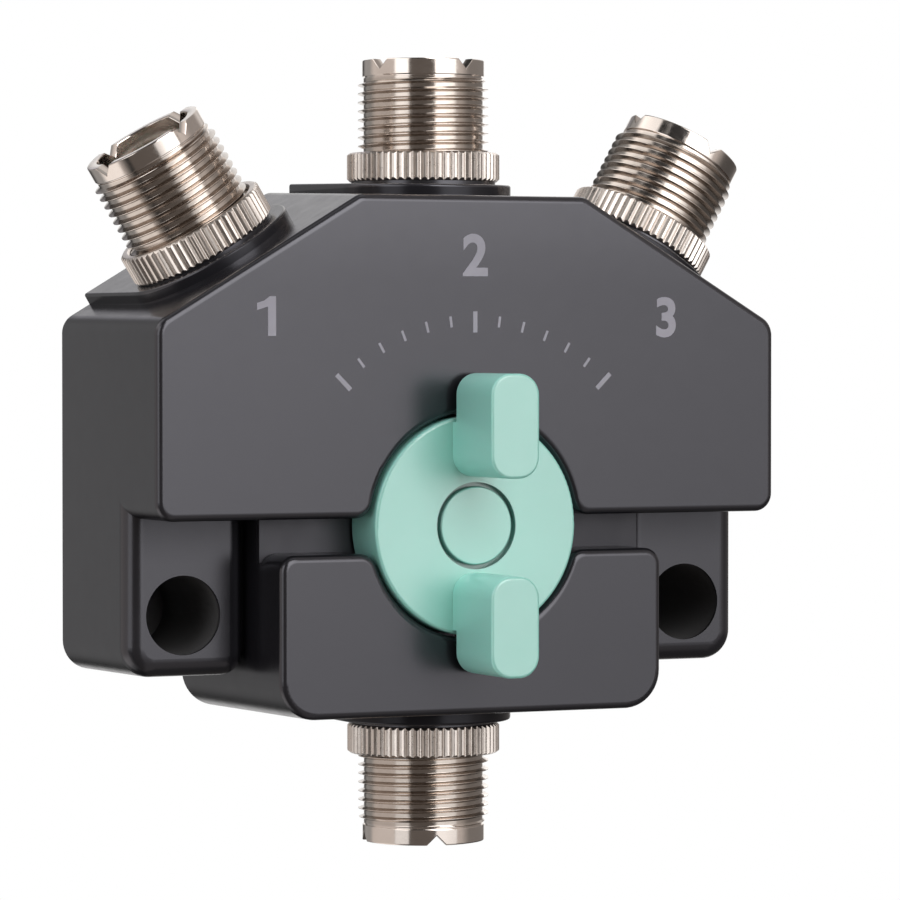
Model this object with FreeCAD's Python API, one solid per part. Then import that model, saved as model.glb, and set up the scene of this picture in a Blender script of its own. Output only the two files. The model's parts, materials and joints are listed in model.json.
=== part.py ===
import FreeCAD, Part
import math, os
from FreeCAD import Vector as V

# Three-way coaxial antenna switch, millimetres.
# +Z up, +X to the right seen from the knob side, +Y towards the wall.
# Origin: back face of the housing, on the knob's axis.
# "depth" below is the distance behind the front face of the housing.

# ---------------------------------------------------------------- dimensions
BODY_DEPTH = 31.0          # front face to back face
UP_HALF_W = 40.5           # upper casting, half width
UP_TOP_HALF = 14.77        # half width of the flat top, at the front
UP_BOTTOM_Z = 1.07         # lower edge of the upper front panel
UP_TOP_Z = 39.13           # top edge at the front
DRAFT = 0.99               # rise of the top towards the back
SHOULDER_DRAFT = 0.22      # the same on the sloping shoulders, square to them
TILT = 30.5                # slope of the shoulders
SHOULDER_Z = UP_TOP_Z - (UP_HALF_W - UP_TOP_HALF) * math.tan(math.radians(TILT))
LOW_HALF_W = 25.0          # lower casting
LOW_TOP_Z = -3.13
LOW_BOTTOM_Z = -22.45      # at the front
LOW_DRAFT = 0.4            # fall of the lower casting's underside towards the back
GAP_DEPTH = 6.6            # floor of the slot between the two front panels
EAR_DEPTH = 9.8            # front face of the mounting ears
EAR_BOTTOM_Z = -17.6       # at the front of the ear
EAR_DRAFT = 0.4
EAR_EDGE_R = 2.2           # its broad rounded front edges
EAR_GAP = 0.25             # groove between ear and lower block
WALL = 3.0
WELL_FLOOR = 7.0           # round well that the knob turns in
WELL_R = 13.45
FRONT_CAVITY = 10.0        # inner side of the front wall behind well and slot
EDGE_R = 0.85              # rounded front edges

EAR_HOLE_X = 33.34         # wall screw holes
EAR_HOLE_Z = -10.35
EAR_WELL_R = 4.7
EAR_HOLE_R = 2.0
EAR_FLOOR = 3.0            # metal left under a wall screw's head

COVER_T = 2.0              # rear cover
COVER_LIP = 1.4            # how far it laps onto the walls
COVER_GAP = 0.08
COVER_SCREWS = [(13.2, 33.4), (-13.2, 33.4), (34.2, 7.2), (-34.2, 7.2), (18.6, -16.4), (-18.6, -16.4)]
COVER_BOSS_R = 3.2
M3_R = 1.5

PORT_DEPTH = 14.6          # axis of the four connectors
PAD_HALF_W = 10.6
THREAD_TOP = 14.8          # heights along a connector's axis, from its foot
RIM_TOP = 16.8
THREAD_R = 7.94            # 5/8-24 crest
SHANK_R = 7.6              # pitch radius of the thread, inside the lock ring and the wall
RIM_R = 7.4
RING_R = 9.24
SHELL_BORE_R = 6.1
SHELL_FLANGE_R = 9.0
SHELL_FLANGE_T = 1.5
HUB_R = 4.6
HUB_FACE = 13.8
HUB_BASE = 7.5
SOCKET_R = 2.6
SOCKET_BORE_R = 2.0
SOCKET_DEPTH = 10.0
TAIL_R = 1.2
HOUSING_BORE_R = 7.66
PORT_FEET = {              # x, z, lean from +Z towards +X in degrees, length of the tail inside
    "port_1": (-27.80, 31.53, -31.6, 14.25),
    "port_2": (0.0, 39.0, 0.0, 11.0),
    "port_3": (27.47, 31.70, 29.6, 14.25),
    "common_port": (0.0, -21.95, 180.0, 11.4),
}
PADS = {                   # x, z, lean of a pad's foot, height of its top, rise of the top towards the back
    "port_1": (-27.73, 31.555, -TILT, 1.55, 0.0),
    "port_2": (0.0, 39.0, 0.0, 1.49, 0.75),
    "port_3": (27.73, 31.555, TILT, 1.55, 0.0),
    "common_port": (0.0, -21.95, 180.0, 2.10, 0.0),
}
RINGS = {                  # heights of the lock ring's two ends
    "port_1": (1.80, 5.55),
    "port_2": (2.10, 5.60),
    "port_3": (2.20, 5.55),
    "common_port": (2.45, 6.10),
}
SEAT_R = 8.75              # round seat that a lock ring stands on

KNOB_R = 13.1
KNOB_FRONT = -0.34         # depths; negative is in front of the housing
KNOB_BACK = 6.5
LUG_HALF_W = 3.1
LUGS = [(5.85, 18.1), (-17.45, -5.6)]   # heights of their ends
LUG_FRONT = -11.0
LUG_UNDER = -1.35
CAP_R = 4.68
CAP_RECESS_R = 5.15
SHAFT_R = 3.0
FLAT = 2.4                 # shaft flat, from the axis
BUSH_R = 4.2
BUSH_FRONT, BUSH_BACK = 8.8, 13.5
HUB_SEAT_R = 5.3

BALL_R = 1.5
BALL_X = -9.3              # ball's place beside the shaft
BALL_CLEAR = 0.04          # ball to the flat of the knob's back
BALL_TRAVEL = 0.5
BALL_HOLE_R = 1.55
BALL_HOLE_END = 14.2
INDEX_ANGLE = 45.0

BLADE_FRONT = 17.1         # rotor contact
BLADE_T = 1.0
BLADE_REACH = 22.5
STATOR_BACK = 17.0
STATOR_FRONT = 15.0
STATOR_HALF_W = 2.5
STATOR_IN, STATOR_OUT = 18.5, 31.0

os.makedirs("parts", exist_ok=True)


def yd(depth):
    return depth - BODY_DEPTH


def box(x0, x1, d0, d1, z0, z1):
    return Part.makeBox(x1 - x0, d1 - d0, z1 - z0, V(x0, yd(d0), z0))


def drum(r, x, z, d0, d1):
    "cylinder along Y between two depths"
    return Part.makeCylinder(r, d1 - d0, V(x, yd(d0), z), V(0, 1, 0))


def plate(points, d0, d1):
    "straight-sided outline in XZ, extruded between two depths"
    pts = [V(x, yd(d0), z) for x, z in points]
    face = Part.Face(Part.makePolygon(pts + [pts[0]]))
    return face.extrude(V(0, d1 - d0, 0))


def edges_where(shape, test):
    return [e for e in shape.Edges if e.Length > 1e-4 and test(e)]


def along_y(e):
    a, b = e.Vertexes[0].Point, e.Vertexes[-1].Point
    return abs(a.x - b.x) < 2.0 and abs(a.z - b.z) < 1.4 and abs(a.y - b.y) > 2.0


def ymid(e):
    return 0.5 * (e.Vertexes[0].Point.y + e.Vertexes[-1].Point.y)


def at(e, x, z, tol=0.8):
    p = e.valueAt(0.5 * (e.FirstParameter + e.LastParameter))
    return abs(abs(p.x) - x) < tol and abs(p.z - z) < tol


def on_depth(e, depth):
    return all(abs(p.y - yd(depth)) < 1e-3 for p in e.discretize(5))


def put(shape, node):
    solids = shape.Solids
    out = solids[0] if len(solids) == 1 else Part.makeCompound(solids)
    if not out.isValid():
        print("INVALID", node)
    out.exportStep("parts/" + node + ".step")
    print("%-28s solids %d volume %.1f" % (node, len(solids), out.Volume))
    return out


def port_frame(name):
    x, z, lean, _ = PORT_FEET[name]
    pl = FreeCAD.Placement(V(x, yd(PORT_DEPTH), z), FreeCAD.Rotation(V(0, 1, 0), lean))
    return pl


def placed(shape, name):
    s = shape.copy()
    s.Placement = port_frame(name).multiply(s.Placement)
    return s


def tube(r, h0, h1):
    return Part.makeCylinder(r, h1 - h0, V(0, 0, h0), V(0, 0, 1))


# ---------------------------------------------------------------- housing
t = math.radians(TILT)
peak_x = UP_TOP_HALF - 6 / math.tan(t)
big = plate([(-UP_HALF_W, UP_BOTTOM_Z), (UP_HALF_W, UP_BOTTOM_Z), (UP_HALF_W, SHOULDER_Z + 1),
             (peak_x, UP_TOP_Z + 7), (-peak_x, UP_TOP_Z + 7), (-UP_HALF_W, SHOULDER_Z + 1)], 0, BODY_DEPTH)


def keep_below(z_front, rise, y_front, far=-200):
    "wedge that keeps what lies under a plane rising over the depth of the body, or over it where far is up"
    y_back = y_front + BODY_DEPTH
    side = [V(0, y_front, far), V(0, y_back, far), V(0, y_back, z_front + rise), V(0, y_front, z_front)]
    f = Part.Face(Part.makePolygon(side + [side[0]]))
    w = f.extrude(V(400, 0, 0))
    w.translate(V(-200, 0, 0))
    return w


upper = big.common(keep_below(UP_TOP_Z, DRAFT, yd(0)))
for s in (-1, 1):
    w = keep_below(0, SHOULDER_DRAFT, yd(0))
    w.Placement = FreeCAD.Placement(V(s * UP_TOP_HALF, 0, UP_TOP_Z), FreeCAD.Rotation(V(0, 1, 0), s * TILT)).multiply(w.Placement)
    upper = upper.common(w)
upper = upper.makeFillet(1.8, edges_where(upper, lambda e: along_y(e) and at(e, UP_TOP_HALF, UP_TOP_Z + DRAFT / 2, 1.5)))
upper = upper.makeFillet(2.5, edges_where(upper, lambda e: along_y(e) and at(e, UP_HALF_W, SHOULDER_Z, 1.5)))
upper = upper.makeFillet(2.2, edges_where(upper, lambda e: along_y(e) and at(e, UP_HALF_W, UP_BOTTOM_Z)))

lower = box(-LOW_HALF_W, LOW_HALF_W, 0, BODY_DEPTH, LOW_BOTTOM_Z - 2, LOW_TOP_Z)
lower = lower.common(keep_below(LOW_BOTTOM_Z, -LOW_DRAFT, yd(0), 200))
lower = lower.makeFillet(4.6, edges_where(lower, lambda e: along_y(e) and at(e, LOW_HALF_W, LOW_BOTTOM_Z)))
lower = lower.makeFillet(2.0, edges_where(lower, lambda e: along_y(e) and at(e, LOW_HALF_W, LOW_TOP_Z)))

bridge = box(-LOW_HALF_W, LOW_HALF_W, GAP_DEPTH, BODY_DEPTH, LOW_TOP_Z - 6, UP_BOTTOM_Z + 4)
bridge = bridge.makeFillet(0.8, edges_where(bridge, lambda e: along_y(e)))
ears = []
for s in (-1, 1):
    x0, x1 = sorted((s * (LOW_HALF_W + EAR_GAP), s * UP_HALF_W))
    e = box(x0, x1, EAR_DEPTH, BODY_DEPTH, EAR_BOTTOM_Z - 2, UP_BOTTOM_Z + 5)
    e = e.common(keep_below(EAR_BOTTOM_Z, -EAR_DRAFT, yd(EAR_DEPTH), 200))
    e = e.makeFillet(3.6, edges_where(e, lambda q: along_y(q) and at(q, UP_HALF_W, EAR_BOTTOM_Z)))
    e = e.makeFillet(2.6, edges_where(e, lambda q: along_y(q) and at(q, LOW_HALF_W + EAR_GAP, EAR_BOTTOM_Z)))
    e = e.makeFillet(EAR_EDGE_R, edges_where(e, lambda q: on_depth(q, EAR_DEPTH) and abs(q.CenterOfMass.z - (UP_BOTTOM_Z + 5)) > 0.1))
    ears.append(e)
    x0, x1 = sorted((s * (LOW_HALF_W - 6), s * (LOW_HALF_W + 4)))
    ears.append(box(x0, x1, EAR_DEPTH + EAR_EDGE_R + 0.15, BODY_DEPTH, EAR_BOTTOM_Z + 2.6, UP_BOTTOM_Z + 4))
body = upper.fuse([lower, bridge] + ears).removeSplitter()
body = body.cut(drum(WELL_R, 0, 0, -1, WELL_FLOOR))

# rounded corners where the knob's well opens into the slot, then the front edges
cx1 = math.sqrt(WELL_R ** 2 - UP_BOTTOM_Z ** 2)
cx2 = math.sqrt(WELL_R ** 2 - LOW_TOP_Z ** 2)
corner = edges_where(body, lambda e: along_y(e) and ymid(e) < yd(5) and (at(e, cx1, UP_BOTTOM_Z, 0.3) or at(e, cx2, LOW_TOP_Z, 0.3)))
print("well corners", len(corner))
body = body.makeFillet(2.2, corner)
front = edges_where(body, lambda e: on_depth(e, 0))
print("front edges", len(front))
body = body.makeFillet(EDGE_R, front)

# pads under the connectors, running to the back face
def pad(name):
    x, z, lean, top, rise = PADS[name]
    back = BODY_DEPTH - PORT_DEPTH

    def on_top(q):
        return abs(q.z - top - rise * (q.y + PORT_DEPTH) / BODY_DEPTH) < 1e-3

    a = Part.makeCylinder(PAD_HALF_W, top + 6.0, V(0, 0, -2.0), V(0, 0, 1))
    b = Part.makeBox(2 * PAD_HALF_W, back, top + 6.0, V(-PAD_HALF_W, 0, -2.0))
    p = a.fuse(b).removeSplitter().common(keep_below(top, rise, -PORT_DEPTH))
    p = p.makeFillet(0.3, edges_where(p, lambda e: all(on_top(q) for q in e.discretize(5)) and e.CenterOfMass.y < back - 0.1))
    p.Placement = FreeCAD.Placement(V(x, yd(PORT_DEPTH), z), FreeCAD.Rotation(V(0, 1, 0), lean))
    return p


body = body.fuse([pad(n) for n in PADS]).removeSplitter()
body = body.fuse([placed(tube(SEAT_R, -0.5, RINGS[n][0]), n) for n in RINGS]).removeSplitter()

# cavity
q_x = PADS["port_3"][0] - WALL * math.sin(t)
q_z = PADS["port_3"][1] - WALL * math.cos(t)
in_top = UP_TOP_Z - WALL
in_x = UP_HALF_W - WALL
in_low = PORT_FEET["common_port"][1] + WALL
in_low_x = LOW_HALF_W - WALL
ledge_z = UP_BOTTOM_Z + WALL


def outline(o):
    "inner outline of the walls, moved outwards by o"
    m = math.tan(t)
    s = o / math.cos(t)
    top = in_top + o
    xt = q_x + (q_z + s - top) / m
    xs = in_x + o
    zs = q_z + s - (xs - q_x) * m
    half = [(in_low_x + o, in_low - o), (in_low_x + o, ledge_z - o), (xs, ledge_z - o), (xs, zs), (xt, top)]
    return half + [(-x, z) for x, z in reversed(half)]


cavity = plate(outline(0), FRONT_CAVITY, BODY_DEPTH + 1)
cavity = cavity.fuse(plate(outline(COVER_LIP), BODY_DEPTH - COVER_T, BODY_DEPTH + 1))
pocket = plate(outline(0), WALL, FRONT_CAVITY + 0.5)
pocket = pocket.cut([drum(WELL_R + WALL, 0, 0, 0, 20), box(-60, 60, 0, 20, LOW_TOP_Z - WALL, ledge_z)])
cavity = cavity.fuse(pocket)
for x, z in COVER_SCREWS:
    cavity = cavity.cut(drum(COVER_BOSS_R, x, z, 0, BODY_DEPTH - COVER_T))
cavity = cavity.cut(drum(7.0, 0, 0, 5, BUSH_BACK))
cavity = cavity.cut(drum(3.2, BALL_X, 0, 5, 15.5))
body = body.cut(cavity)

tools = [drum(BUSH_R, 0, 0, 5, 20), drum(HUB_SEAT_R, 0, 0, 5, BUSH_FRONT), drum(BALL_HOLE_R, BALL_X, 0, 5, BALL_HOLE_END)]
for x, z in COVER_SCREWS:
    tools.append(drum(M3_R, x, z, 18.0, BODY_DEPTH))
for s in (-1, 1):
    tools.append(drum(EAR_WELL_R, s * EAR_HOLE_X, EAR_HOLE_Z, 5, BODY_DEPTH - EAR_FLOOR))
    tools.append(drum(EAR_HOLE_R, s * EAR_HOLE_X, EAR_HOLE_Z, 5, BODY_DEPTH + 1))
for n in PORT_FEET:
    tools.append(placed(tube(HOUSING_BORE_R, -5, 6), n))
    tools.append(placed(tube(SHELL_FLANGE_R + 0.15, -WALL - SHELL_FLANGE_T - 0.5, -WALL), n))
body = body.cut(tools)
put(body, "housing")

# ---------------------------------------------------------------- rear cover and its screws
cover = plate(outline(COVER_LIP - COVER_GAP), BODY_DEPTH - COVER_T, BODY_DEPTH)
screws = []
HEAD_R, HEAD_H = 2.75, 1.6
for x, z in COVER_SCREWS:
    cone = Part.makeCone(M3_R, HEAD_R, HEAD_H, V(x, yd(BODY_DEPTH - HEAD_H), z), V(0, 1, 0))
    cover = cover.cut([cone, drum(M3_R + 0.1, x, z, BODY_DEPTH - COVER_T, BODY_DEPTH)])
    screw = cone.fuse(drum(M3_R, x, z, BODY_DEPTH - 8.0, BODY_DEPTH - HEAD_H))
    cross = box(x - 1.5, x + 1.5, BODY_DEPTH - 1.0, BODY_DEPTH + 1, z - 0.3, z + 0.3)
    cross = cross.fuse(box(x - 0.3, x + 0.3, BODY_DEPTH - 1.0, BODY_DEPTH + 1, z - 1.5, z + 1.5))
    screws.append(screw.cut(cross).removeSplitter())
put(cover, "rear_cover")
put(Part.makeCompound(screws), "rear_cover_screws")

# ---------------------------------------------------------------- connectors
def shell(ring_top):
    s = tube(THREAD_R, ring_top, THREAD_TOP).fuse([
        tube(SHANK_R, -WALL - 0.5, ring_top + 0.5), tube(RIM_R, THREAD_TOP - 1, RIM_TOP),
        tube(SHELL_FLANGE_R, -WALL - SHELL_FLANGE_T, -WALL)])
    return s.cut(tube(SHELL_BORE_R, -10, 30)).removeSplitter()


insulator = tube(SHELL_BORE_R, -WALL - SHELL_FLANGE_T, HUB_BASE).fuse(tube(HUB_R, -6.0, HUB_FACE)).removeSplitter()
insulator = insulator.cut([tube(SOCKET_R, HUB_FACE - SOCKET_DEPTH - 1, 30), tube(TAIL_R, -10, 10)])
for n, (fx, fz, lean, tail) in PORT_FEET.items():
    low, high = RINGS[n]
    put(placed(shell(high), n), n + "_shell")
    put(placed(tube(RING_R, low, high).cut(tube(SHANK_R, 0, 10)), n), n + "_lock_ring")
    put(placed(insulator, n), n + "_insulator")
    c = tube(SOCKET_R, HUB_FACE - SOCKET_DEPTH - 1, HUB_FACE).fuse(tube(TAIL_R, -tail, 5))
    c = c.cut(tube(SOCKET_BORE_R, HUB_FACE - SOCKET_DEPTH, 30))
    slit = Part.makeBox(8, 0.4, 6, V(-4, -0.2, HUB_FACE - 6))
    slit2 = Part.makeBox(0.4, 8, 6, V(-0.2, -4, HUB_FACE - 6))
    c = c.cut([slit, slit2])
    c = placed(c, n)
    # flat on the end of the tail, where the inner strip is soldered
    flat = placed(Part.makeBox(6, 6, 4.0, V(-3, STATOR_FRONT - PORT_DEPTH, -tail - 0.01)), n) if n != "common_port" else \
        box(-3, 3, STATOR_FRONT, 22, fz + tail - 4.0, fz + tail + 0.01)
    c = c.cut(flat)
    put(c.removeSplitter(), n + "_center_contact")

# ---------------------------------------------------------------- fixed contacts in the cavity
def strip(half, z0, z1, d0, d1, r):
    s = box(-half, half, d0, d1, z0, z1)
    return s.makeFillet(r, edges_where(s, lambda e: along_y_short(e) and abs(e.CenterOfMass.z - z0) < 0.01))


def along_y_short(e):
    a, b = e.Vertexes[0].Point, e.Vertexes[-1].Point
    return abs(a.x - b.x) < 1e-6 and abs(a.z - b.z) < 1e-6


stator = strip(STATOR_HALF_W, STATOR_IN, STATOR_OUT, STATOR_FRONT, STATOR_BACK, 1.5)
stator = stator.cut(box(-3, 3, 0, 16.0, 0, 23.5))
for n, ang in (("port_1", -45.0), ("port_2", 0.0), ("port_3", 45.0)):
    s = stator.copy()
    s.rotate(V(0, 0, 0), V(0, 1, 0), ang)
    put(s, n + "_fixed_contact")
zc = PORT_FEET["common_port"][1]
tip = zc + PORT_FEET["common_port"][3]
wiper = box(-2.5, 2.5, STATOR_FRONT, STATOR_BACK, tip - 4.0, tip + 0.5)
wiper = wiper.fuse(box(-2.5, 2.5, STATOR_BACK - 0.5, STATOR_BACK, tip - 4.0, -5.8)).removeSplitter()
put(wiper, "common_wiper")

# ---------------------------------------------------------------- knob
knob = drum(KNOB_R, 0, 0, KNOB_FRONT, KNOB_BACK)
knob = knob.makeFillet(0.35, edges_where(knob, lambda e: on_depth(e, KNOB_FRONT)))
knob = knob.fuse(drum(5.0, 0, 0, KNOB_BACK - 1, BUSH_FRONT - 0.05))
for z0, z1 in LUGS:
    lug = box(-LUG_HALF_W, LUG_HALF_W, LUG_FRONT, LUG_UNDER, z0, z1)
    lug = lug.makeFillet(2.55, edges_where(lug, along_y))
    foot = box(-LUG_HALF_W, LUG_HALF_W, LUG_UNDER - 0.5, 1.0, z0, z1)
    foot = foot.makeFillet(2.55, edges_where(foot, lambda e: along_y_short(e) and abs(e.CenterOfMass.y - yd(0.25 + LUG_UNDER / 2)) < 0.3))
    foot = foot.common(drum(KNOB_R - 0.4, 0, 0, -5, 5))
    lug = lug.makeFillet(0.35, edges_where(lug, lambda e: on_depth(e, LUG_FRONT)))
    knob = knob.fuse([lug, foot])
knob = knob.removeSplitter()
socket = drum(SHAFT_R, 0, 0, 4.6, 12).cut(box(FLAT, 6, 0, 20, -6, 6))
knob = knob.cut([drum(CAP_RECESS_R, 0, 0, KNOB_FRONT - 1, 1.6), drum(3.0, 0, 0, 1, 3.6), drum(1.6, 0, 0, 1, 6), socket])
seat = KNOB_BACK + BALL_CLEAR + BALL_R - BALL_TRAVEL
for a in (-INDEX_ANGLE, 0.0, INDEX_ANGLE):
    x, z = BALL_X * math.cos(math.radians(a)), BALL_X * math.sin(math.radians(a))
    knob = knob.cut(Part.makeSphere(BALL_R + 0.1, V(x, yd(seat), z)))
put(knob, "knob")

cap = drum(CAP_R, 0, 0, KNOB_FRONT, 1.0)
cap = cap.makeFillet(0.25, edges_where(cap, lambda e: on_depth(e, KNOB_FRONT)))
cap = cap.fuse(drum(CAP_RECESS_R, 0, 0, 0.6, 1.6)).removeSplitter()
put(cap, "knob_cap")

head = drum(2.8, 0, 0, 1.7, 3.6)
head = head.makeFillet(0.5, edges_where(head, lambda e: on_depth(e, 1.7)))
kscrew = head.fuse(drum(M3_R, 0, 0, 3.6, 10.0)).removeSplitter()
kscrew = kscrew.cut([box(-1.6, 1.6, 1.0, 2.8, -0.35, 0.35), box(-0.35, 0.35, 1.0, 2.8, -1.6, 1.6)])
put(kscrew, "knob_screw")

# ---------------------------------------------------------------- shaft group
shaft = drum(SHAFT_R, 0, 0, 4.65, BLADE_FRONT + BLADE_T)
shaft = shaft.cut([box(FLAT, 6, 0, BUSH_FRONT - 0.05, -6, 6), box(FLAT, 6, 14.6, 30, -6, 6)])
groove = drum(5, 0, 0, 13.95, 14.6).cut(drum(2.5, 0, 0, 13, 15))
shaft = shaft.cut([groove, drum(M3_R, 0, 0, 4, 10.5), drum(M3_R, 0, 0, 12.0, 30)])
put(shaft, "shaft")
bush = drum(BUSH_R, 0, 0, BUSH_FRONT, BUSH_BACK).cut(drum(SHAFT_R + 0.03, 0, 0, 5, 20))
put(bush, "shaft_bush")
washer = drum(5.0, 0, 0, 13.55, 13.95).cut(drum(SHAFT_R + 0.1, 0, 0, 5, 20))
put(washer, "shaft_thrust_washer")
clip = drum(4.9, 0, 0, 13.95, 14.6).cut([drum(2.5, 0, 0, 5, 20), box(-6, -1.2, 13, 15, -1.6, 1.6)])
put(clip, "shaft_retaining_ring")

hub = drum(5.3, 0, 0, 14.6, BLADE_FRONT)
core = drum(BUSH_R, 0, 0, BLADE_FRONT - 0.5, BLADE_FRONT + BLADE_T).cut([box(3.4, 8, 10, 20, -8, 8), box(-8, -3.4, 10, 20, -8, 8)])
hub = hub.fuse(core).removeSplitter().cut(drum(SHAFT_R, 0, 0, 5, 30).cut(box(FLAT, 6, 0, 30, -6, 6)))
put(hub, "rotor_hub")

b = BLADE_FRONT + BLADE_T
arm = box(-3, 3, BLADE_FRONT, b, 0, BLADE_REACH)
arm = arm.makeFillet(2.0, edges_where(arm, lambda e: along_y_short(e) and abs(e.CenterOfMass.z - BLADE_REACH) < 0.01))
blade = drum(8.0, 0, 0, BLADE_FRONT, b).fuse(arm).removeSplitter()
hole = drum(BUSH_R, 0, 0, 10, 30).cut([box(3.4, 8, 5, 35, -8, 8), box(-8, -3.4, 5, 35, -8, 8)])
blade = blade.cut(hole)
put(blade, "rotor_contact")

clamp = drum(6.0, 0, 0, b, b + 1.0).cut(drum(1.6, 0, 0, 5, 40))
put(clamp, "rotor_clamp_washer")
rhead = drum(2.8, 0, 0, b + 1.0, b + 2.9)
rhead = rhead.makeFillet(0.5, edges_where(rhead, lambda e: on_depth(e, b + 2.9)))
rscrew = rhead.fuse(drum(M3_R, 0, 0, 12.2, b + 1.0)).removeSplitter()
rscrew = rscrew.cut([box(-1.6, 1.6, b + 1.8, 30, -0.35, 0.35), box(-0.35, 0.35, b + 1.8, 30, -1.6, 1.6)])
put(rscrew, "rotor_screw")

# ---------------------------------------------------------------- detent
ball = Part.makeSphere(BALL_R, V(BALL_X, yd(KNOB_BACK + BALL_CLEAR + BALL_R), 0))
put(ball, "detent_ball")
# compression spring: four closed-wound rings joined into one stack by their helix
s0, s1 = KNOB_BACK + BALL_CLEAR + 2 * BALL_R + 0.05, BALL_HOLE_END - 0.02
wire_r, coil_r, turns = 0.16, 1.2, 6.5
pitch = (s1 - s0 - 2 * wire_r) / turns
helix = Part.makeHelix(pitch, pitch * turns, coil_r)
prof = Part.Wire([Part.makeCircle(wire_r, V(coil_r, 0, 0), V(0, 1, pitch / (2 * math.pi * coil_r)))])
spring = Part.Wire(helix.Edges).makePipeShell([prof], True, True)
spring = spring if spring.ShapeType == "Solid" else Part.Solid(spring)
spring.rotate(V(0, 0, 0), V(1, 0, 0), -90)
spring.translate(V(BALL_X, yd(s0 + wire_r), 0))
put(spring, "detent_spring")
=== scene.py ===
import json
import math
import bmesh
import bpy
from mathutils import Matrix, Vector


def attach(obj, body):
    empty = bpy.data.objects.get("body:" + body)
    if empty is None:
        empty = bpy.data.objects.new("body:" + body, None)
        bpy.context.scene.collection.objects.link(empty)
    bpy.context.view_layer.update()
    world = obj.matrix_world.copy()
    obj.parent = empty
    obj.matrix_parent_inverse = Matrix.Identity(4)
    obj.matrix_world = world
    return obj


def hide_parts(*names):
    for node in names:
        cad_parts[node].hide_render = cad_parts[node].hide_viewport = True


# Three-way coaxial antenna switch: looks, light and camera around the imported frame.
# Row frame in metres: +Z up, +X right seen from the knob, +Y into the wall, origin on the knob's axis at the back face.

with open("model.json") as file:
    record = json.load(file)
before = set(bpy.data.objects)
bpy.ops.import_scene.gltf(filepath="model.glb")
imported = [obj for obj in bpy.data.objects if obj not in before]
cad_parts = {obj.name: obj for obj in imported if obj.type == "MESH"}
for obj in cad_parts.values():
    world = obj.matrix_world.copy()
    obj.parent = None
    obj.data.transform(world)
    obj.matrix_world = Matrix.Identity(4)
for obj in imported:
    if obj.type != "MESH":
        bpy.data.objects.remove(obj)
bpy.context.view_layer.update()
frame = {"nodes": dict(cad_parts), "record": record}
NODES = frame["nodes"]
MM = 0.001

# ------------------------------------------------------------------ connector geometry, millimetres along each port's axis
FRONT_Y = -31.0
PORT_Y = -16.4
PORTS = {  # x, z of the foot, lean from +Z towards +X in degrees, angle of the first notch about the axis
    "port_1": (-27.80, 31.53, -31.6, -71.0),
    "port_2": (0.0, 39.0, 0.0, -70.3),
    "port_3": (27.47, 31.70, 29.6, -86.0),
    "common_port": (0.0, -21.95, 180.0, -78.0),
}
RINGS = {  # heights of the lock ring's two ends
    "port_1": (1.80, 5.55),
    "port_2": (2.10, 5.60),
    "port_3": (2.20, 5.55),
    "common_port": (2.45, 6.10),
}
THREAD_TOP, RIM_TOP = 14.8, 16.8
BORE_R, RIM_R, CREST_R, ROOT_R, SHANK_R, FLANGE_R = 6.1, 7.4, 7.94, 7.24, 7.6, 9.0
RING_R, RING_ROOT_R, RING_HOLE_R = 9.24, 8.96, 8.06
PITCH = 25.4 / 24
TEETH = 60
NOTCH_HALF, NOTCH_DEPTH = 1.2, 1.2


def port_matrix(name):
    x, z, lean, _ = PORTS[name]
    place = Matrix.Translation(Vector((x, PORT_Y, z)) * MM) @ Matrix.Rotation(math.radians(lean), 4, "Y")
    return place @ Matrix.Scale(MM, 4)


# ------------------------------------------------------------------ mesh helpers
def sharpen(bm, degrees):
    limit = math.radians(degrees)
    for f in bm.faces:
        f.smooth = True
    for e in bm.edges:
        e.smooth = len(e.link_faces) == 2 and e.calc_face_angle(0.0) < limit


def build(name, verts, faces, matrix, degrees=32.0):
    mesh = bpy.data.meshes.new(name)
    mesh.from_pydata([matrix @ Vector(v) for v in verts], [], faces)
    bm = bmesh.new()
    bm.from_mesh(mesh)
    bmesh.ops.recalc_face_normals(bm, faces=bm.faces)
    sharpen(bm, degrees)
    bm.to_mesh(mesh)
    bm.free()
    obj = bpy.data.objects.new(name, mesh)
    bpy.context.scene.collection.objects.link(obj)
    return obj


class Skin:
    """Collects points and faces; equal points are one vertex, and a face that has collapsed is left out."""

    def __init__(self):
        self.index, self.verts, self.faces = {}, [], []

    def point(self, x, y, z):
        key = (round(x, 5), round(y, 5), round(z, 5))
        if key not in self.index:
            self.index[key] = len(self.verts)
            self.verts.append((x, y, z))
        return self.index[key]

    def polar(self, r, a, h):
        return self.point(r * math.cos(a), r * math.sin(a), h)

    def face(self, *ids):
        loop = [v for k, v in enumerate(ids) if v != ids[k - 1]]
        if len(set(loop)) == len(loop) and len(loop) > 2:
            self.faces.append(tuple(loop))

    def band(self, low, high):
        """quads between two closed rings of the same length"""
        n = len(low)
        for i in range(n):
            j = (i + 1) % n
            self.face(low[i], low[j], high[j], high[i])


# ------------------------------------------------------------------ threaded, notched shell
# one turn of the thread: share of the pitch, radius
TURN = [
    (0.000, CREST_R - 0.06), (0.025, CREST_R), (0.075, CREST_R), (0.100, CREST_R - 0.06), (0.280, ROOT_R + 0.08),
    (0.320, ROOT_R + 0.012), (0.345, ROOT_R), (0.365, ROOT_R), (0.735, ROOT_R), (0.755, ROOT_R), (0.780, ROOT_R + 0.012),
    (0.820, ROOT_R + 0.08),
]


def turn_radius(phase):
    phase %= 1.0
    pts = TURN + [(1.0, TURN[0][1])]
    for (a, ra), (b, rb) in zip(pts, pts[1:]):
        if a <= phase <= b:
            return ra + (rb - ra) * (phase - a) / (b - a)
    return TURN[0][1]


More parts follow.
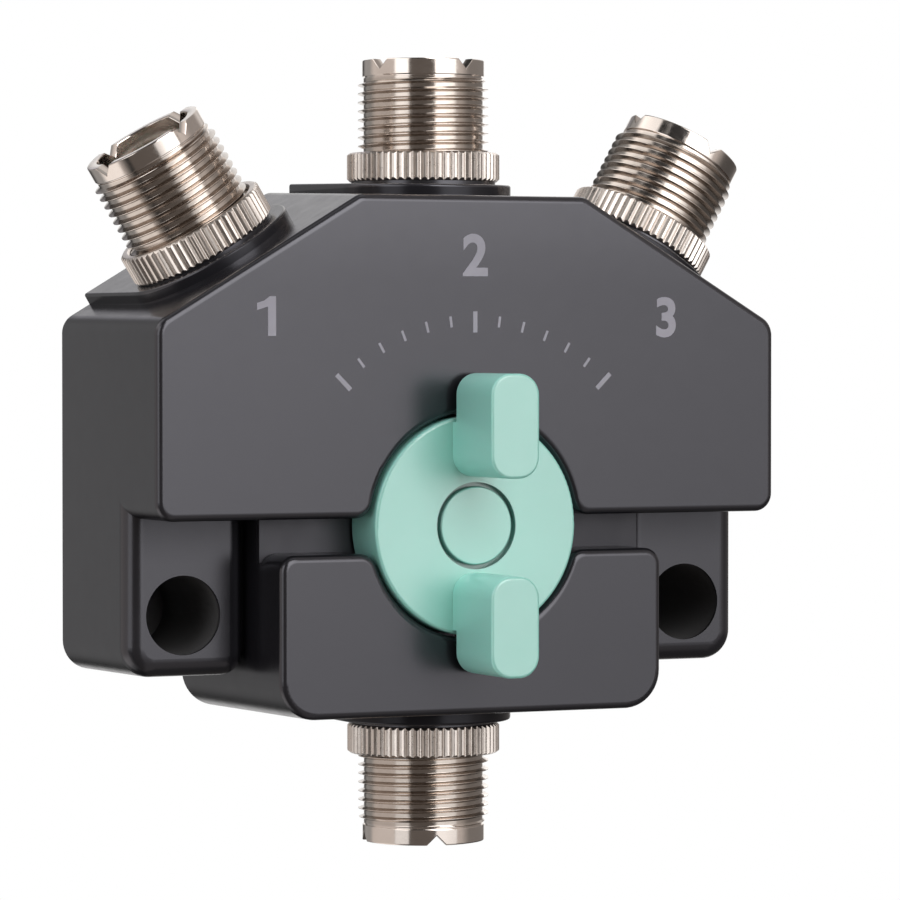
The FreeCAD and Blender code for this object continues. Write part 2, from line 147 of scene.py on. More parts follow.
def columns(first_notch):
    """(angle on the rim, notch angle, distance from the notch's middle or None) once round"""
    cols = []
    edge = math.degrees(math.asin(NOTCH_HALF / BORE_R)) + 2.0
    for k in range(4):
        centre = first_notch + 90.0 * k
        for d in (-1.2, -0.9, -0.6, -0.3, 0.0, 0.3, 0.6, 0.9, 1.2):
            cols.append((math.radians(centre) + math.asin(d / RIM_R), math.radians(centre), d))
        steps = 20
        for s in range(steps + 1):
            cols.append((math.radians(centre + edge + (90.0 - 2 * edge) * s / steps), math.radians(centre), None))
    return cols


def make_shell(name):
    skin = Skin()
    cols = columns(PORTS[name][3])
    start = cols[0][0]
    turn = [(c[0] - start) / (2 * math.pi) for c in cols]
    n = len(cols)
    h0, h1 = RINGS[name][1] - 1.0, THREAD_TOP - 0.15

    def angle(i, r):
        a, centre, d = cols[i]
        return a if d is None else centre + math.asin(d / r)

    def ring(r, h):
        return [skin.polar(r, cols[i][0], h) for i in range(n)]

    # helical rows, sheared along the thread so that crest and root lie on rows
    k = len(TURN)
    rows = k * (int((h1 - h0) / PITCH) + 3)
    grid = []
    for j in range(rows + 1):
        line = []
        for i in range(n):
            turns = j // k + TURN[j % k][0] + turn[i] - 1.0
            h = min(max(h0 + turns * PITCH, h0), h1)
            phase = (h - h0) / PITCH - turn[i]
            r = turn_radius(phase)
            run_out = min(1.0, max(0.0, (h1 - h) / 0.85))
            r = ROOT_R + (r - ROOT_R) * run_out ** 0.8
            line.append(skin.polar(r, cols[i][0], h))
        grid.append(line)
    for j in range(rows):
        for i in range(n - 1):
            skin.face(grid[j][i], grid[j][i + 1], grid[j + 1][i + 1], grid[j + 1][i])
    for j in range(rows - k):
        skin.face(grid[j][n - 1], grid[j + k][0], grid[j + 1 + k][0], grid[j + 1][n - 1])
    low = [skin.polar(turn_radius(-turn[i]), cols[i][0], h0) for i in range(n)]
    high = [skin.polar(ROOT_R, cols[i][0], h1) for i in range(n)]

    # shank and inner flange
    shank = [ring(SHANK_R, h0 - 0.02), ring(SHANK_R, -2.9), ring(SHANK_R + 0.1, -3.0), ring(FLANGE_R - 0.15, -3.0),
             ring(FLANGE_R, -3.15), ring(FLANGE_R, -4.35), ring(FLANGE_R - 0.15, -4.5), ring(BORE_R + 0.1, -4.5), ring(BORE_R, -4.4)]
    chain = [low] + shank
    for a, b in zip(chain, chain[1:]):
        skin.band(a, b)

    # rim with four vee notches cut straight through its wall
    def top(i):
        d = cols[i][2]
        return RIM_TOP - (NOTCH_DEPTH - abs(d) if d is not None else 0.0)

    def rim(r, height):
        return [skin.polar(r, angle(i, r), height(i)) for i in range(n)]

    c = 0.13
    chain = [
        high,
        ring(ROOT_R - 0.14, h1 + 0.04), ring(ROOT_R - 0.14, h1 + 0.17), ring(RIM_R - 0.03, h1 + 0.2),
        ring(RIM_R, h1 + 0.26), ring(RIM_R, h1 + 0.32), ring(RIM_R, RIM_TOP - 1.45),
        rim(RIM_R, lambda i: top(i) - c - 0.05), rim(RIM_R, lambda i: top(i) - c), rim(RIM_R - 0.04, lambda i: top(i) - 0.04), rim(RIM_R - c, top),
        rim(BORE_R + c, top), rim(BORE_R + 0.04, lambda i: top(i) - 0.04), rim(BORE_R, lambda i: top(i) - c), rim(BORE_R, lambda i: top(i) - c - 0.05),
        ring(BORE_R, RIM_TOP - 1.45), ring(BORE_R, 8.0), shank[-1],
    ]
    for a, b in zip(chain, chain[1:]):
        skin.band(a, b)
    return build(name + "_threaded_shell", skin.verts, skin.faces, port_matrix(name), 28.0)


# ------------------------------------------------------------------ knurled lock ring
def make_lock_ring(name):
    skin = Skin()
    # one tooth: share of the tooth's pitch, radius
    tooth = [(-0.50, RING_ROOT_R), (-0.43, RING_ROOT_R + 0.02), (-0.19, RING_R - 0.03), (-0.13, RING_R), (0.13, RING_R),
             (0.19, RING_R - 0.03), (0.43, RING_ROOT_R + 0.02)]
    pts = []
    for t in range(TEETH):
        for share, r in tooth:
            pts.append((2 * math.pi * (t + share) / TEETH, r))
    end_r = RING_ROOT_R - 0.05
    z0, z1 = RINGS[name][0] + 0.01, RINGS[name][1]

    def loop(radius, height):
        return [skin.polar(radius(r), a, height(r)) for a, r in pts]

    def same(v):
        return lambda r: v

    chain = [
        loop(same(RING_HOLE_R), same(z0 + 0.05)),
        loop(same(RING_HOLE_R + 0.1), same(z0)),
        loop(same(end_r - 0.02), same(z0)),
        loop(same(end_r), same(z0 + 0.01)),
        loop(lambda r: r, lambda r: z0 + 0.01 + (r - end_r) * 1.0),
        loop(lambda r: r, lambda r: z1 - 0.01 - (r - end_r) * 0.8),
        loop(same(end_r), same(z1 - 0.01)),
        loop(same(end_r - 0.03), same(z1)),
        loop(same(RING_HOLE_R + 0.24), same(z1)),
        loop(same(RING_HOLE_R), same(z1 - 0.22)),
    ]
    for a, b in zip(chain, chain[1:] + chain[:1]):
        skin.band(a, b)
    return build(name + "_knurled_ring", skin.verts, skin.faces, port_matrix(name), 24.0)


# ------------------------------------------------------------------ materials
def material(name):
    mat = bpy.data.materials.new(name)
    mat.use_nodes = True
    tree = mat.node_tree
    return mat, tree, tree.nodes["Principled BSDF"]


def node(tree, kind, **values):
    n = tree.nodes.new(kind)
    for key, value in values.items():
        setattr(n, key, value)
    return n


def wire(tree, a, b):
    tree.links.new(a, b)


def noise(tree, scale, detail=2.0, rough=0.5, coords=None):
    n = node(tree, "ShaderNodeTexNoise")
    n.inputs["Scale"].default_value = scale
    n.inputs["Detail"].default_value = detail
    n.inputs["Roughness"].default_value = rough
    if coords is None:
        coords = node(tree, "ShaderNodeTexCoord").outputs["Object"]
    wire(tree, coords, n.inputs["Vector"])
    return n.outputs["Fac"]


def spread(tree, fac, low, high, a=0.3, b=0.7):
    m = node(tree, "ShaderNodeMapRange")
    m.inputs["From Min"].default_value = a
    m.inputs["From Max"].default_value = b
    m.inputs["To Min"].default_value = low
    m.inputs["To Max"].default_value = high
    wire(tree, fac, m.inputs["Value"])
    return m.outputs["Result"]


def tint(tree, fac, low, high):
    m = node(tree, "ShaderNodeMix", data_type="RGBA")
    m.inputs["A"].default_value = (*low, 1.0)
    m.inputs["B"].default_value = (*high, 1.0)
    wire(tree, fac, m.inputs["Factor"])
    return m.outputs["Result"]


def bump(tree, bsdf, height, strength, distance, after=None):
    b = node(tree, "ShaderNodeBump")
    b.inputs["Strength"].default_value = strength
    b.inputs["Distance"].default_value = distance
    wire(tree, height, b.inputs["Height"])
    if after is not None:
        wire(tree, after, b.inputs["Normal"])
    wire(tree, b.outputs["Normal"], bsdf.inputs["Normal"])
    return b.outputs["Normal"]


def shade_math(tree, op, *args):
    n = node(tree, "ShaderNodeMath", operation=op)
    for i, a in enumerate(args):
        if isinstance(a, (int, float)):
            n.inputs[i].default_value = a
        else:
            wire(tree, a, n.inputs[i])
    return n.outputs[0]


def smooth_step(tree, value, lo, hi):
    m = node(tree, "ShaderNodeMapRange", interpolation_type="SMOOTHSTEP")
    m.inputs["From Min"].default_value = lo * MM
    m.inputs["From Max"].default_value = hi * MM
    wire(tree, value, m.inputs["Value"])
    return m.outputs["Result"]


def enamel(name, low, high, rough, wells=False):
    mat, tree, bsdf = material(name)
    coords = node(tree, "ShaderNodeTexCoord").outputs["Object"]
    wide = noise(tree, 60.0, 3.0, coords=coords)
    base = tint(tree, spread(tree, wide, 0.0, 1.0), low, high)
    dull = spread(tree, noise(tree, 420.0, 4.0, coords=coords), rough - 0.02, rough + 0.03)
    height = noise(tree, 2400.0, 2.0, coords=coords)
    if wells:
        split = node(tree, "ShaderNodeSeparateXYZ")
        wire(tree, coords, split.inputs["Vector"])
        x, y, z = split.outputs
        x = shade_math(tree, "ABSOLUTE", x)
        # the deep wells of the wall screws are rougher with a weaker sheen, and their base is lifted to a mid grey as
        # painted fill light in their shade
        dx = shade_math(tree, "SUBTRACT", x, 33.34 * MM)
        dz = shade_math(tree, "ADD", z, 10.35 * MM)
        far = shade_math(tree, "SQRT", shade_math(tree, "ADD", shade_math(tree, "MULTIPLY", dx, dx), shade_math(tree, "MULTIPLY", dz, dz)))
        deep = smooth_step(tree, y, FRONT_Y + 9.9, FRONT_Y + 10.6)
        screw_well = shade_math(tree, "MULTIPLY", shade_math(tree, "SUBTRACT", 1.0, smooth_step(tree, far, 4.72, 4.78)), deep)
        # the slot between the two front panels is left rougher
        in_slot = shade_math(tree, "MULTIPLY", smooth_step(tree, y, FRONT_Y + 5.6, FRONT_Y + 6.4),
                             shade_math(tree, "SUBTRACT", 1.0, smooth_step(tree, x, 24.9, 25.4)))
        in_slot = shade_math(tree, "MULTIPLY", in_slot, shade_math(tree, "SUBTRACT", 1.0, smooth_step(tree, y, FRONT_Y + 6.8, FRONT_Y + 7.4)))
        in_slot = shade_math(tree, "MULTIPLY", in_slot, smooth_step(tree, z, -4.4, -3.8))
        in_slot = shade_math(tree, "MULTIPLY", in_slot, shade_math(tree, "SUBTRACT", 1.0, smooth_step(tree, z, 1.5, 2.1)))
        # painted fill light: a mid grey base inside the screw wells, lighter than the enamel around them
        dark = node(tree, "ShaderNodeMix", data_type="RGBA")
        wire(tree, screw_well, dark.inputs["Factor"])
        wire(tree, base, dark.inputs["A"])
        dark.inputs["B"].default_value = (0.10, 0.099, 0.10, 1.0)
        base = dark.outputs["Result"]
        dull = shade_math(tree, "ADD", dull, shade_math(tree, "MULTIPLY", in_slot, 0.16))
        dull = shade_math(tree, "ADD", dull, shade_math(tree, "MULTIPLY", screw_well, 0.5))
        # painted sheen: the specular level rises towards the left and the top, standing in for the brighter light
        # falling there
        shine = shade_math(tree, "ADD", 0.78, shade_math(tree, "MULTIPLY", split.outputs[0], -2.03))
        shine = shade_math(tree, "ADD", shine, shade_math(tree, "MULTIPLY", smooth_step(tree, z, 27.0, 40.0), 0.2))
        shine = shade_math(tree, "SUBTRACT", shine, shade_math(tree, "MULTIPLY", screw_well, 0.55))
        shine = shade_math(tree, "SUBTRACT", shine, shade_math(tree, "MULTIPLY", in_slot, 0.14))
        # painted shade: the ears' faces get a weaker sheen, most of all close under the upper panel where its shadow
        # falls, and the left ear a little more
        ear = shade_math(tree, "MULTIPLY", smooth_step(tree, y, FRONT_Y + 8.6, FRONT_Y + 9.2),
                         shade_math(tree, "SUBTRACT", 1.0, smooth_step(tree, y, FRONT_Y + 9.9, FRONT_Y + 10.4)))
        ear = shade_math(tree, "MULTIPLY", ear, smooth_step(tree, x, 24.9, 25.4))
        ear = shade_math(tree, "MULTIPLY", ear, shade_math(tree, "SUBTRACT", 1.0, smooth_step(tree, x, 38.0, 39.4)))
        ear = shade_math(tree, "MULTIPLY", ear, shade_math(tree, "SUBTRACT", 1.0, smooth_step(tree, z, 1.2, 1.8)))
        ear_left = shade_math(tree, "SUBTRACT", 1.0, smooth_step(tree, split.outputs[0], -5.0, 5.0))
        painted_ear_shade = shade_math(tree, "ADD", shade_math(tree, "MULTIPLY", smooth_step(tree, z, -5.0, 0.9), 0.27), shade_math(tree, "MULTIPLY", ear_left, 0.07))
        shine = shade_math(tree, "MULTIPLY", shine, shade_math(tree, "SUBTRACT", 1.0, shade_math(tree, "MULTIPLY", ear, painted_ear_shade)))
        # the short walls of the pads under the connectors are duller than their tops
        for port in PORTS:
            fx, fz, lean, _ = PORTS[port]
            a = math.radians(lean)
            px = shade_math(tree, "SUBTRACT", split.outputs[0], fx * MM)
            pz = shade_math(tree, "SUBTRACT", z, fz * MM)
            up = shade_math(tree, "ADD", shade_math(tree, "MULTIPLY", px, math.sin(a)), shade_math(tree, "MULTIPLY", pz, math.cos(a)))
            side = shade_math(tree, "ABSOLUTE", shade_math(tree, "SUBTRACT", shade_math(tree, "MULTIPLY", px, math.cos(a)), shade_math(tree, "MULTIPLY", pz, math.sin(a))))
            low = 0.75 if port == "common_port" else 0.25
            rim = {"port_2": 1.38, "common_port": 2.02}.get(port, 1.46)
            wall = shade_math(tree, "MULTIPLY", smooth_step(tree, up, low, low + 0.15),
                              shade_math(tree, "SUBTRACT", 1.0, smooth_step(tree, up, rim - 0.16, rim)))
            wall = shade_math(tree, "MULTIPLY", wall, shade_math(tree, "SUBTRACT", 1.0, smooth_step(tree, side, 11.6, 12.2)))
            shine = shade_math(tree, "MULTIPLY", shine, shade_math(tree, "SUBTRACT", 1.0, shade_math(tree, "MULTIPLY", wall, 0.7)))
        bsdf.inputs["Specular IOR Level"].default_value = 0.75
        wire(tree, shine, bsdf.inputs["Specular IOR Level"])
    wire(tree, base, bsdf.inputs["Base Color"])
    wire(tree, dull, bsdf.inputs["Roughness"])
    bsdf.inputs["IOR"].default_value = 1.5
    bsdf.inputs["Specular Tint"].default_value = (0.92, 0.915, 1.0, 1.0)
    first = bump(tree, bsdf, noise(tree, 300.0, 1.0, coords=coords), 0.12, 0.00002)
    bump(tree, bsdf, height, 0.15, 0.000008, first)
    return mat


def moulded(name, low, high, rough, sub=0.0, shine=0.5, ior=1.5, lit_side_tint=None):
    mat, tree, bsdf = material(name)
    wide = noise(tree, 120.0, 3.0)
    base = tint(tree, spread(tree, wide, 0.0, 1.0), low, high)
    if lit_side_tint:
        # painted light: faces turned away from the front get a lighter, clearer green, standing in for the light they
        # catch from the side
        split = node(tree, "ShaderNodeSeparateXYZ")
        wire(tree, node(tree, "ShaderNodeTexCoord").outputs["Normal"], split.inputs["Vector"])
        turned = node(tree, "ShaderNodeMapRange", interpolation_type="SMOOTHSTEP")
        turned.inputs["From Min"].default_value = 0.25
        turned.inputs["From Max"].default_value = 0.95
        wire(tree, shade_math(tree, "ABSOLUTE", split.outputs["Y"]), turned.inputs["Value"])
        both = node(tree, "ShaderNodeMix", data_type="RGBA")
        wire(tree, turned.outputs["Result"], both.inputs["Factor"])
        wire(tree, tint(tree, spread(tree, wide, 0.0, 1.0), *lit_side_tint), both.inputs["A"])
        wire(tree, base, both.inputs["B"])
        # painted shade in the narrow groove round the cap
        split = node(tree, "ShaderNodeSeparateXYZ")
        wire(tree, node(tree, "ShaderNodeTexCoord").outputs["Object"], split.inputs["Vector"])
        x, y, z = split.outputs
        far = shade_math(tree, "SQRT", shade_math(tree, "ADD", shade_math(tree, "MULTIPLY", x, x), shade_math(tree, "MULTIPLY", z, z)))
        groove_mask = shade_math(tree, "MULTIPLY", smooth_step(tree, far, 4.45, 4.66), shade_math(tree, "SUBTRACT", 1.0, smooth_step(tree, far, 5.16, 5.24)))
        groove_mask = shade_math(tree, "MULTIPLY", groove_mask, 0.75)
        painted_groove_shade = node(tree, "ShaderNodeMix", data_type="RGBA")
        wire(tree, groove_mask, painted_groove_shade.inputs["Factor"])
        wire(tree, both.outputs["Result"], painted_groove_shade.inputs["A"])
        painted_groove_shade.inputs["B"].default_value = (0.03, 0.15, 0.125, 1.0)
        base = painted_groove_shade.outputs["Result"]
    wire(tree, base, bsdf.inputs["Base Color"])
    wire(tree, spread(tree, noise(tree, 900.0, 3.0), rough - 0.03, rough + 0.05), bsdf.inputs["Roughness"])
    bsdf.inputs["IOR"].default_value = ior
    bsdf.inputs["Specular IOR Level"].default_value = shine
    if sub:
        bsdf.inputs["Subsurface Weight"].default_value = sub
        bsdf.inputs["Subsurface Radius"].default_value = (0.6, 1.0, 0.9)
        bsdf.inputs["Subsurface Scale"].default_value = 0.0008
    bump(tree, bsdf, noise(tree, 4200.0, 2.0), 0.18, 0.000006)
    return mat


def plated(name, low, high, rough, streak=0.3):
    mat, tree, bsdf = material(name)
    bsdf.inputs["Metallic"].default_value = 1.0
    wide = noise(tree, 260.0, 4.0)
    wire(tree, tint(tree, spread(tree, wide, 0.0, 1.0), low, high), bsdf.inputs["Base Color"])
    wire(tree, spread(tree, noise(tree, 1500.0, 4.0, 0.6), rough - 0.03, rough + 0.06), bsdf.inputs["Roughness"])
    bump(tree, bsdf, noise(tree, 2600.0, 3.0), streak, 0.000004)
    return mat


MATS = {
    "housing_paint": enamel("satin_dark_enamel", (0.0115, 0.0113, 0.0140), (0.0145, 0.0142, 0.0170), 0.23, True),
    "cover_paint": enamel("satin_dark_enamel_cover", (0.030, 0.0295, 0.0320), (0.038, 0.0372, 0.0405), 0.30),
    # the knob's last pair of colours is painted light for faces turned away from the front
    "knob_plastic": moulded("pale_green_plastic", (0.282, 0.665, 0.575), (0.297, 0.685, 0.595), 0.34, 0.25, 1.0, 1.78,
                            ((0.42, 0.94, 0.83), (0.435, 0.96, 0.85))),
    "nickel_plate": plated("bright_nickel", (0.69, 0.625, 0.575), (0.75, 0.685, 0.635), 0.11),
    "ptfe": moulded("white_ptfe", (0.80, 0.79, 0.76), (0.86, 0.85, 0.83), 0.42, 0.3),
    "silvered_brass": plated("silvered_brass", (0.78, 0.70, 0.52), (0.84, 0.78, 0.64), 0.20),
    "spring_bronze": plated("phosphor_bronze", (0.62, 0.40, 0.22), (0.74, 0.52, 0.30), 0.26),
    "sintered_bronze": plated("sintered_bronze", (0.46, 0.32, 0.18), (0.60, 0.43, 0.25), 0.48, 0.8),
    "laminate": moulded("brown_laminate", (0.20, 0.105, 0.045), (0.30, 0.17, 0.075), 0.5),
    "zinc_steel": plated("zinc_plated_steel", (0.56, 0.57, 0.60), (0.68, 0.69, 0.71), 0.24),
    "bright_steel": plated("ground_steel", (0.56, 0.56, 0.57), (0.64, 0.64, 0.65), 0.16),
}
KNURL = plated("nickel_knurl", (0.63, 0.575, 0.53), (0.69, 0.635, 0.59), 0.28, 0.03)


def threaded_nickel(port):
    """nickel plate that is duller and browner down in the thread's roots"""
    mat, tree, bsdf = material("bright_nickel_" + port)
    bsdf.inputs["Metallic"].default_value = 1.0
    coords = node(tree, "ShaderNodeTexCoord").outputs["Object"]
    x, z, lean, _ = PORTS[port]
    a = math.radians(lean)
    rel = node(tree, "ShaderNodeVectorMath", operation="SUBTRACT")
    wire(tree, coords, rel.inputs[0])
    rel.inputs[1].default_value = (x * MM, PORT_Y * MM, z * MM)

    def dot(direction):
        d = node(tree, "ShaderNodeVectorMath", operation="DOT_PRODUCT")
        wire(tree, rel.outputs["Vector"], d.inputs[0])
        d.inputs[1].default_value = direction
        return d.outputs["Value"]

    u, v, h = dot((math.cos(a), 0.0, -math.sin(a))), dot((0.0, 1.0, 0.0)), dot((math.sin(a), 0.0, math.cos(a)))
    r = shade_math(tree, "SQRT", shade_math(tree, "ADD", shade_math(tree, "MULTIPLY", u, u), shade_math(tree, "MULTIPLY", v, v)))
    down = shade_math(tree, "SUBTRACT", 1.0, smooth_step(tree, r, 7.25, 8.02))
    down = shade_math(tree, "MULTIPLY", down, shade_math(tree, "SUBTRACT", 1.0, smooth_step(tree, h, 14.4, 14.8)))
    down = shade_math(tree, "MULTIPLY", down, spread(tree, noise(tree, 900.0, 3.0, coords=coords), 0.75, 1.0))
    bright = tint(tree, spread(tree, noise(tree, 260.0, 4.0, coords=coords), 0.0, 1.0), (0.69, 0.625, 0.575), (0.75, 0.685, 0.635))
    root_tone = node(tree, "ShaderNodeMix", data_type="RGBA")
    wire(tree, down, root_tone.inputs["Factor"])
    wire(tree, bright, root_tone.inputs["A"])
    root_tone.inputs["B"].default_value = (0.52, 0.465, 0.42, 1.0)
    wire(tree, root_tone.outputs["Result"], bsdf.inputs["Base Color"])
    dull = spread(tree, noise(tree, 1500.0, 4.0, 0.6, coords=coords), 0.08, 0.17)
    wire(tree, shade_math(tree, "ADD", dull, shade_math(tree, "MULTIPLY", down, 0.05)), bsdf.inputs["Roughness"])
    bump(tree, bsdf, noise(tree, 2600.0, 3.0, coords=coords), 0.3, 0.000004)
    return mat



INK = moulded("printed_grey_ink", (0.31, 0.305, 0.355), (0.36, 0.355, 0.41), 0.45)


def paint(obj, mat):
    if obj.material_slots:
        for s in obj.material_slots:
            s.material = mat
    else:
        obj.data.materials.append(mat)


SLOT = {s["node"]: s["material_slot"] for s in frame["record"]["subparts"]}
for name, obj in NODES.items():
    paint(obj, MATS[SLOT[name]])

# ------------------------------------------------------------------ detailed pieces in place of the plain nodes
for port in PORTS:
    for piece, cad, coat in ((make_shell(port), port + "_shell", threaded_nickel(port)), (make_lock_ring(port), port + "_lock_ring", KNURL)):
        paint(piece, coat)
        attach(piece, "case")
        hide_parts(cad)


# ------------------------------------------------------------------ printed marks on the front face
def numeral(text, x, z, cap):
    curve = bpy.data.curves.new("numeral_" + text, "FONT")
    curve.body = text
    curve.align_x = "CENTER"
    curve.size = cap / 0.70 * MM
    curve.offset = 0.042 * cap * MM
    curve.extrude = 0.012 * MM
    curve.resolution_u = 8
    maker = bpy.data.objects.new("numeral_maker", curve)
    bpy.context.scene.collection.objects.link(maker)
    maker.matrix_world = Matrix.Translation(Vector((x, FRONT_Y - 0.012, z - cap / 2)) * MM) @ Matrix.Rotation(math.pi / 2, 4, "X")
    bpy.context.view_layer.update()
    mesh = bpy.data.meshes.new_from_object(maker.evaluated_get(bpy.context.evaluated_depsgraph_get()))
    mesh.transform(maker.matrix_world)
    mesh.name = "numeral_" + text
    bpy.data.objects.remove(maker)
    obj = bpy.data.objects.new("numeral_" + text, mesh)
    bpy.context.scene.collection.objects.link(obj)
    mesh.materials.clear()
    mesh.materials.append(INK)
    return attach(obj, "case")


def flat_print(name, outline):
    """one printed shape, outline in x and z, laid on the front face"""
    n = len(outline)
    verts = [(x, FRONT_Y, z) for x, z in outline] + [(x, FRONT_Y - 0.024, z) for x, z in outline]
    faces = [tuple(range(n)), tuple(range(n, 2 * n))] + [(i, (i + 1) % n, n + (i + 1) % n, n + i) for i in range(n)]
    obj = build(name, verts, faces, Matrix.Scale(MM, 4))
    paint(obj, INK)
    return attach(obj, "case")


def figure_one(x, z, cap):
    top, low = z + cap / 2, z - cap / 2
    pts = [(x + 0.05 * cap, low), (x + 0.27 * cap, low), (x + 0.27 * cap, top), (x + 0.10 * cap, top), (x - 0.05 * cap, top - 0.11 * cap),
           (x - 0.25 * cap, top - 0.17 * cap), (x - 0.25 * cap, top - 0.35 * cap), (x + 0.05 * cap, top - 0.26 * cap)]
    return flat_print("numeral_1", pts)


figure_one(-26.9, 24.8, 4.6)
numeral("2", 0.0, 32.1, 4.7)
numeral("3", 25.6, 24.8, 4.5)


def tick_marks():
    """a plain row of dial ticks about the knob's axis"""
    verts, faces = [], []
    for k in range(-6, 7):
        a = math.radians(7.5 * k)
        major = k % 6 == 0
        r0, r1, w = (22.9, 25.4, 0.28) if major else (23.7, 25.0, 0.16)
        ax = Vector((math.sin(a), 0, math.cos(a)))
        side = Vector((math.cos(a), 0, -math.sin(a)))
        base = len(verts)
        for depth in (0.0, -0.024):
            for r, s in ((r0, -w), (r0, w), (r1, w), (r1, -w)):
                p = ax * r + side * s
                verts.append((p.x, FRONT_Y + depth, p.z))
        q = [base + i for i in range(8)]
        faces += [(q[0], q[1], q[2], q[3]), (q[4], q[5], q[6], q[7]), (q[0], q[1], q[5], q[4]), (q[1], q[2], q[6], q[5]),
                  (q[2], q[3], q[7], q[6]), (q[3], q[0], q[4], q[7])]
    obj = build("dial_ticks", verts, faces, Matrix.Scale(MM, 4))
    paint(obj, INK)
    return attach(obj, "case")


tick_marks()

# ------------------------------------------------------------------ stage
floor_mesh = bpy.data.meshes.new("floor")
half, floor_z = 1.3, -0.62
floor_mesh.from_pydata([(-half, -half, floor_z), (half, -half, floor_z), (half, half, floor_z), (-half, half, floor_z)], [], [(0, 1, 2, 3)])
floor = bpy.data.objects.new("floor", floor_mesh)
bpy.context.scene.collection.objects.link(floor)
floor_mat, tree, bsdf = material("pale_floor")
wire(tree, tint(tree, noise(tree, 3.0), (0.80, 0.80, 0.80), (0.84, 0.84, 0.84)), bsdf.inputs["Base Color"])
bsdf.inputs["Roughness"].default_value = 0.9
paint(floor, floor_mat)
floor.visible_diffuse = False
floor.visible_glossy = False

# ------------------------------------------------------------------ camera
YAW, PITCH_DOWN = 25.326197748, -1.4338385268
yaw, pitch = math.radians(YAW), math.radians(PITCH_DOWN)
look = Vector((math.sin(yaw) * math.cos(pitch), math.cos(yaw) * math.cos(pitch), math.sin(pitch)))
cam = bpy.data.objects.new("camera", bpy.data.cameras.new("camera"))
bpy.context.scene.collection.objects.link(cam)
cam.location = (-0.235444, -0.521502, 0.022584)
cam.rotation_mode = "QUATERNION"
cam.rotation_quaternion = look.to_track_quat("-Z", "Y")
cam.data.sensor_width = 36.0
cam.data.lens = 183.603
cam.data.clip_start, cam.data.clip_end = 0.01, 20.0
bpy.context.scene.camera = cam

# ------------------------------------------------------------------ light: a white studio of tall soft boxes around the object
world = bpy.data.worlds.new("studio")
bpy.context.scene.world = world
world.use_nodes = True
wt = world.node_tree
wt.nodes.clear()


def math_node(op, *args, clamp=False):
    n = node(wt, "ShaderNodeMath", operation=op)
    n.use_clamp = clamp
    for i, a in enumerate(args):
        if isinstance(a, (int, float)):
            n.inputs[i].default_value = a
        else:
            wire(wt, a, n.inputs[i])
    return n.outputs[0]


def rise(value, lo, hi):
    """0 below lo, 1 above hi, smooth between"""
    m = node(wt, "ShaderNodeMapRange", interpolation_type="SMOOTHSTEP")
    m.inputs["From Min"].default_value = lo
    m.inputs["From Max"].default_value = hi
    wire(wt, value, m.inputs["Value"])
    return m.outputs["Result"]


def fall(value, lo, hi):
    return math_node("SUBTRACT", 1.0, rise(value, lo, hi))


def product(*factors):
    out = factors[0]
    for f in factors[1:]:
        out = math_node("MULTIPLY", out, f)
    return out


coord = node(wt, "ShaderNodeTexCoord").outputs["Generated"]


def along(direction):
    d = node(wt, "ShaderNodeVectorMath", operation="DOT_PRODUCT")
    wire(wt, coord, d.inputs[0])
    d.inputs[1].default_value = direction
    return d.outputs["Value"]


# azimuth in degrees from the photographer's side, plus to the right; elevation in degrees
az = math_node("MULTIPLY", math_node("ARCTAN2", along((math.cos(yaw), -math.sin(yaw), 0.0)), along((-math.sin(yaw), -math.cos(yaw), 0.0))), 180 / math.pi)
el = math_node("MULTIPLY", math_node("ARCSINE", along((0.0, 0.0, 1.0))), 180 / math.pi)
# the right-hand box leans: higher up it stands further left
az_lean = math_node("ADD", az, math_node("MULTIPLY", math_node("MAXIMUM", el, 0.0), 0.45))
total = None


def add(colour, level, *factors):
    global total
    c = node(wt, "ShaderNodeVectorMath", operation="SCALE")
    c.inputs[0].default_value = [level * v for v in colour]
    wire(wt, product(*factors), c.inputs["Scale"])
    if total is None:
        total = c.outputs["Vector"]
    else:
        s = node(wt, "ShaderNodeVectorMath", operation="ADD")
        wire(wt, total, s.inputs[0])
        wire(wt, c.outputs["Vector"], s.inputs[1])
        total = s.outputs["Vector"]


COOL, PLAIN, WARM, BROWN = (1.0, 0.985, 0.98), (1.0, 0.99, 0.98), (1.08, 0.985, 0.93), (1.15, 0.96, 0.84)
# right-hand box, brighter towards its upper part
right = product(rise(az_lean, 23.8, 26.2), fall(az_lean, 65.8, 68.2), rise(el, -22.0, -12.0), fall(el, 44.0, 56.0))
slant = math_node("SUBTRACT", 1.0, math_node("MULTIPLY", rise(az, 34.0, 68.0), 0.42))
add(COOL, 0.9, right)
add(COOL, 2.85, right, rise(el, -11.0, 14.0), slant)
# left-hand box and the lit wall to its left
add(COOL, 1.7, rise(az, -56.2, -53.8), fall(az, -28.2, -25.8), rise(el, -18.0, 4.0), fall(el, 33.0, 43.0))
add(WARM, 0.62, rise(az, -122.0, -106.0), fall(az, -57.0, -54.0), rise(el, -62.0, -48.0), fall(el, 38.0, 50.0))
add(PLAIN, 0.33, rise(az, -160.0, -138.0), fall(az, -122.0, -106.0), rise(el, -50.0, -36.0), fall(el, 30.0, 44.0))
aside = product(rise(az, -128.0, -108.0), fall(az, -60.0, -50.0))
add(PLAIN, 1.0, aside, rise(el, 18.0, 34.0), fall(el, 62.0, 74.0))
add(PLAIN, 0.5, aside, fall(el, -34.0, -18.0), rise(el, -74.0, -62.0))
add(WARM, 0.55, rise(az, -57.0, -54.0), fall(az, -60.0, -30.0), fall(el, -30.0, -14.0))
# the dark gap in front, where the camera stands
add(BROWN, 0.085, rise(az, -32.0, -22.0), fall(az, 20.0, 26.0), fall(el, 8.0, 28.0))
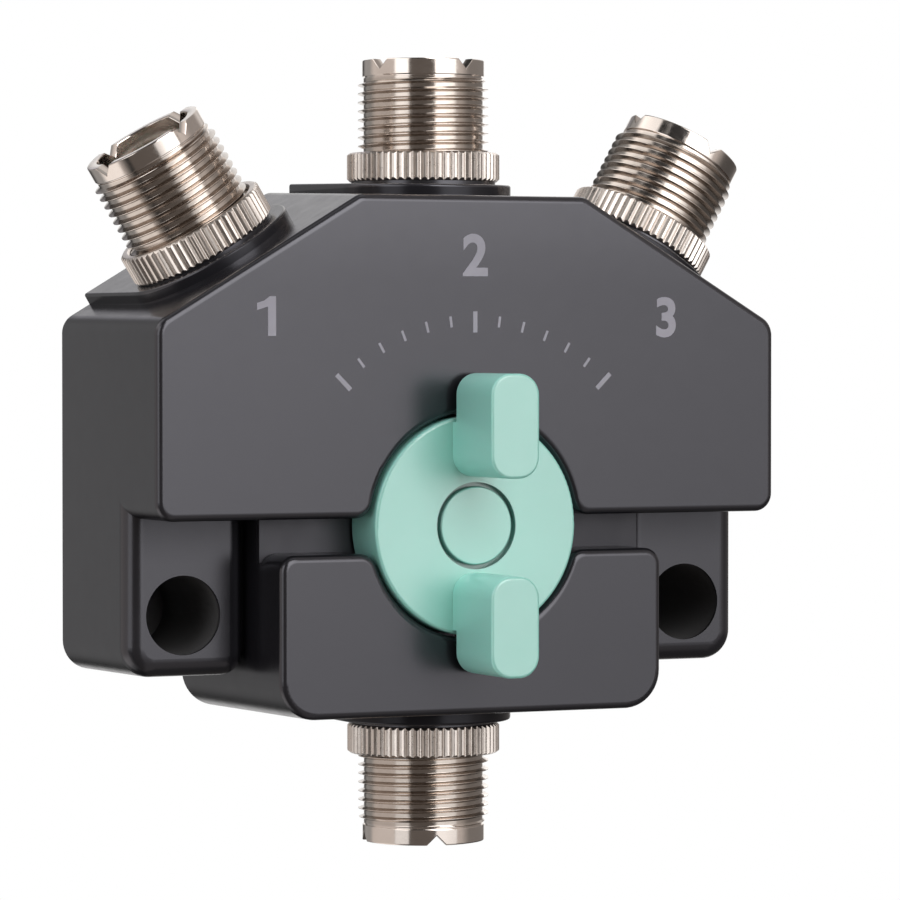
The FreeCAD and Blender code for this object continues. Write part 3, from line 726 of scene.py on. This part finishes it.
# dim room beyond the right-hand box
add(WARM, 0.38, rise(az_lean, 66.0, 68.0), fall(az, 70.0, 100.0), rise(el, -16.0, -6.0), fall(el, 40.0, 55.0))
add(WARM, 0.055, rise(az, 66.0, 68.0))
add(WARM, 0.145, rise(az, 66.0, 68.0), rise(el, -14.0, -4.0))
add(WARM, 0.10, rise(az, 66.0, 68.0), rise(el, 5.0, 20.0))
add(PLAIN, 0.45, rise(az, 128.0, 150.0), rise(el, 6.0, 20.0), fall(el, 36.0, 50.0))
# white sweep behind the object
low_back = product(math_node("ADD", fall(az, -170.0, -160.0), rise(az, 160.0, 170.0)), rise(el, -40.0, -20.0))
low_back = product(low_back, fall(el, 36.0, 50.0))
high_back = product(fall(az, -164.0, -148.0), rise(el, 10.0, 22.0), fall(el, 36.0, 50.0))
add(PLAIN, 0.9, low_back)
add((1.01, 0.985, 1.06), 0.74, math_node("MAXIMUM", math_node("SUBTRACT", high_back, low_back), 0.0))
# ceiling, light from below the right-hand box, and what is left everywhere
add(PLAIN, 0.40, rise(el, 60.0, 78.0))
add(WARM, 0.30, rise(az, 18.0, 26.0), fall(az, 64.0, 72.0), fall(el, -22.0, -12.0))
add(PLAIN, 0.035, rise(el, -95.0, -91.0))

light = node(wt, "ShaderNodeBackground")
wire(wt, total, light.inputs["Color"])
white = node(wt, "ShaderNodeBackground")
white.inputs["Color"].default_value = (1.0, 1.0, 1.0, 1.0)
white.inputs["Strength"].default_value = 1.0
path = node(wt, "ShaderNodeLightPath")
mix = node(wt, "ShaderNodeMixShader")
wire(wt, path.outputs["Is Camera Ray"], mix.inputs["Fac"])
wire(wt, light.outputs["Background"], mix.inputs[1])
wire(wt, white.outputs["Background"], mix.inputs[2])
out = node(wt, "ShaderNodeOutputWorld")
wire(wt, mix.outputs["Shader"], out.inputs["Surface"])
world.cycles.sampling_method = "MANUAL"
world.cycles.sample_map_resolution = 1024

bpy.context.scene.view_settings.view_transform = "Standard"
bpy.context.scene.view_settings.look = "None"
